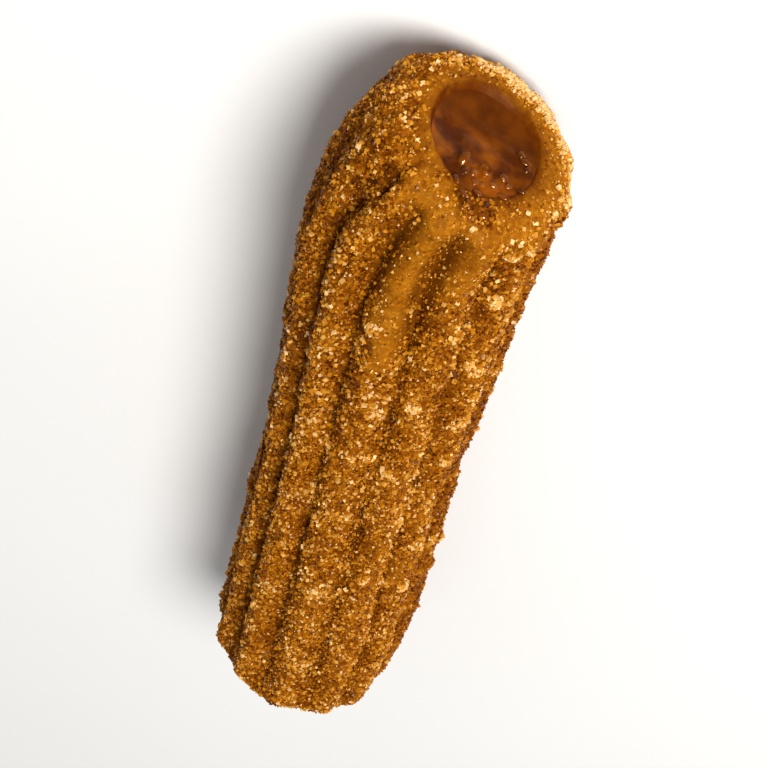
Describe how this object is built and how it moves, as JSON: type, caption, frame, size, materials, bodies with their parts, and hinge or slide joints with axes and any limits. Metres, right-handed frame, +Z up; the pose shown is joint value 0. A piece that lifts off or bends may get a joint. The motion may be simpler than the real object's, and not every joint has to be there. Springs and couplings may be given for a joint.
{
  "type": "filled churro",
  "caption": "Ridged stick of fried dough, sugared, with a caramel core that shows in the round mouth at each end.",
  "frame": {"origin": "on the resting plane, under the middle of the churro's box", "axes": "+Z up, Y along the churro, with the shown open end towards -Y"},
  "size_m": [0.037, 0.145, 0.0344],
  "materials": {
    "dough": "fried dough, golden brown, with sugar and cinnamon on it",
    "sugar": "sugar grains stained by cinnamon, slightly clear",
    "caramel": "soft caramel, glossy"
  },
  "bodies": {
    "root": {"dough": "dough", "caramel": "caramel"}
  },
  "joints": []
}
